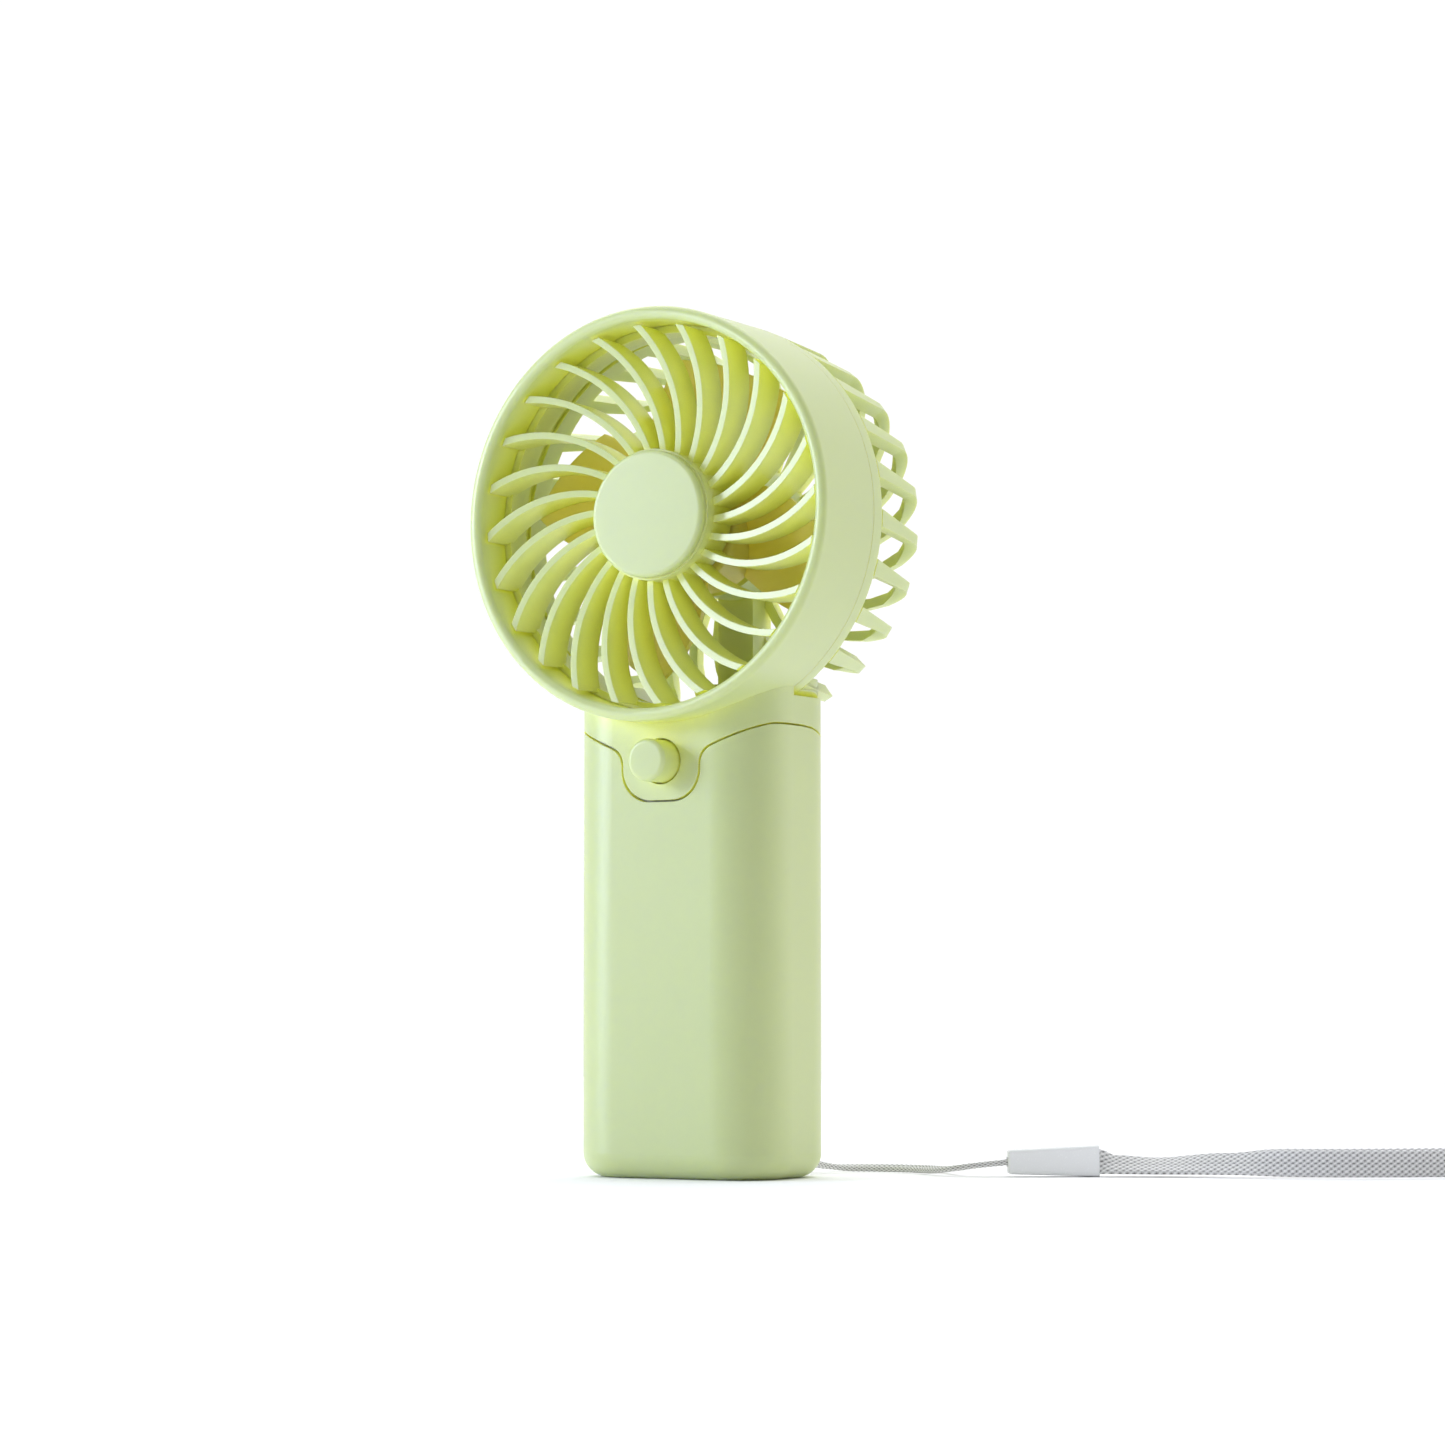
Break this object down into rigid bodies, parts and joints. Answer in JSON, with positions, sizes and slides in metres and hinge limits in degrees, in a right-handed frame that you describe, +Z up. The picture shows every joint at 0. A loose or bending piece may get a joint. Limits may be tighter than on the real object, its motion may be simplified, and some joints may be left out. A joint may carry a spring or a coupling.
{
  "type": "handheld electric fan",
  "caption": "Handheld battery fan with a round caged head, swept grille fins, a push button, a flat-based pull-off handle sleeve and a wrist lanyard.",
  "frame": {"origin": "on the handle's axis, at the flat base that the fan stands on", "axes": "+Z up along the handle, the fan blows towards -Y, +X to the fan's left as seen from in front of it to the right"},
  "size_m": [0.2171, 0.1176, 0.175],
  "materials": {
    "pastel_shell": "fine satin moulded plastic, pastel green",
    "impeller_plastic": "satin moulded plastic, warm yellow-beige",
    "zinc_steel": "zinc-plated steel",
    "bush_bronze": "sintered bronze and copper",
    "dark_plastic": "black moulded plastic",
    "magnet_ferrite": "dark grey ferrite",
    "contact_metal": "nickel-plated brass",
    "shaft_steel": "ground steel",
    "laminated_steel": "laminated steel with enamelled wire",
    "chassis_plastic": "off-white moulded plastic",
    "cell_jacket": "plain printed jacket with a bare metal cap",
    "spring_steel": "nickel-plated spring wire",
    "circuit_board": "green solder-masked board",
    "wire_red": "soft vinyl insulation",
    "wire_black": "soft vinyl insulation",
    "lanyard_cord": "light grey braided and woven polyester",
    "slider_plastic": "white moulded plastic"
  },
  "bodies": {
    "handle": {"battery_sleeve": "pastel_shell", "lanyard_pin": "shaft_steel", "lanyard_strand_back": "lanyard_cord", "lanyard_strand_front": "lanyard_cord", "lanyard_slider": "slider_plastic", "lanyard_strap": "lanyard_cord"},
    "head": {"head_shell": "pastel_shell", "front_grille": "pastel_shell", "hub_cap": "pastel_shell", "rear_cover": "pastel_shell", "rear_ribs": "pastel_shell", "motor_can": "zinc_steel", "motor_bush": "bush_bronze", "motor_end_cap": "dark_plastic", "motor_magnets": "magnet_ferrite", "motor_terminals": "contact_metal", "battery_chassis": "chassis_plastic", "cell_left": "cell_jacket", "cell_right": "cell_jacket", "bridge_plate": "contact_metal", "contact_plates": "contact_metal", "contact_springs": "spring_steel", "button_spring": "spring_steel", "switch_body": "dark_plastic", "switch_board": "circuit_board", "chassis_screws": "zinc_steel", "motor_lead_red": "wire_red", "motor_lead_black": "wire_black", "cell_lead_red": "wire_red", "cell_lead_black": "wire_black"},
    "rotor": {"impeller": "impeller_plastic", "motor_shaft": "shaft_steel", "motor_armature": "laminated_steel", "motor_commutator": "bush_bronze"},
    "button": {"push_button": "pastel_shell"}
  },
  "joints": [
    {"name": "head_lift", "type": "slide", "parent": "handle", "child": "head", "axis": [0, 0, 1], "range_m": [0, 0.085]},
    {"name": "impeller_spin", "type": "hinge", "parent": "head", "child": "rotor", "pos_m": [0, 0, 0.1332], "axis": [0, 1, 0], "continuous": true},
    {"name": "button_press", "type": "slide", "parent": "head", "child": "button", "axis": [0, 1, 0], "range_m": [0, 0.002], "stiffness_N_per_m": 500, "springref_m": -0.001, "deforming": ["button_spring"]}
  ]
}
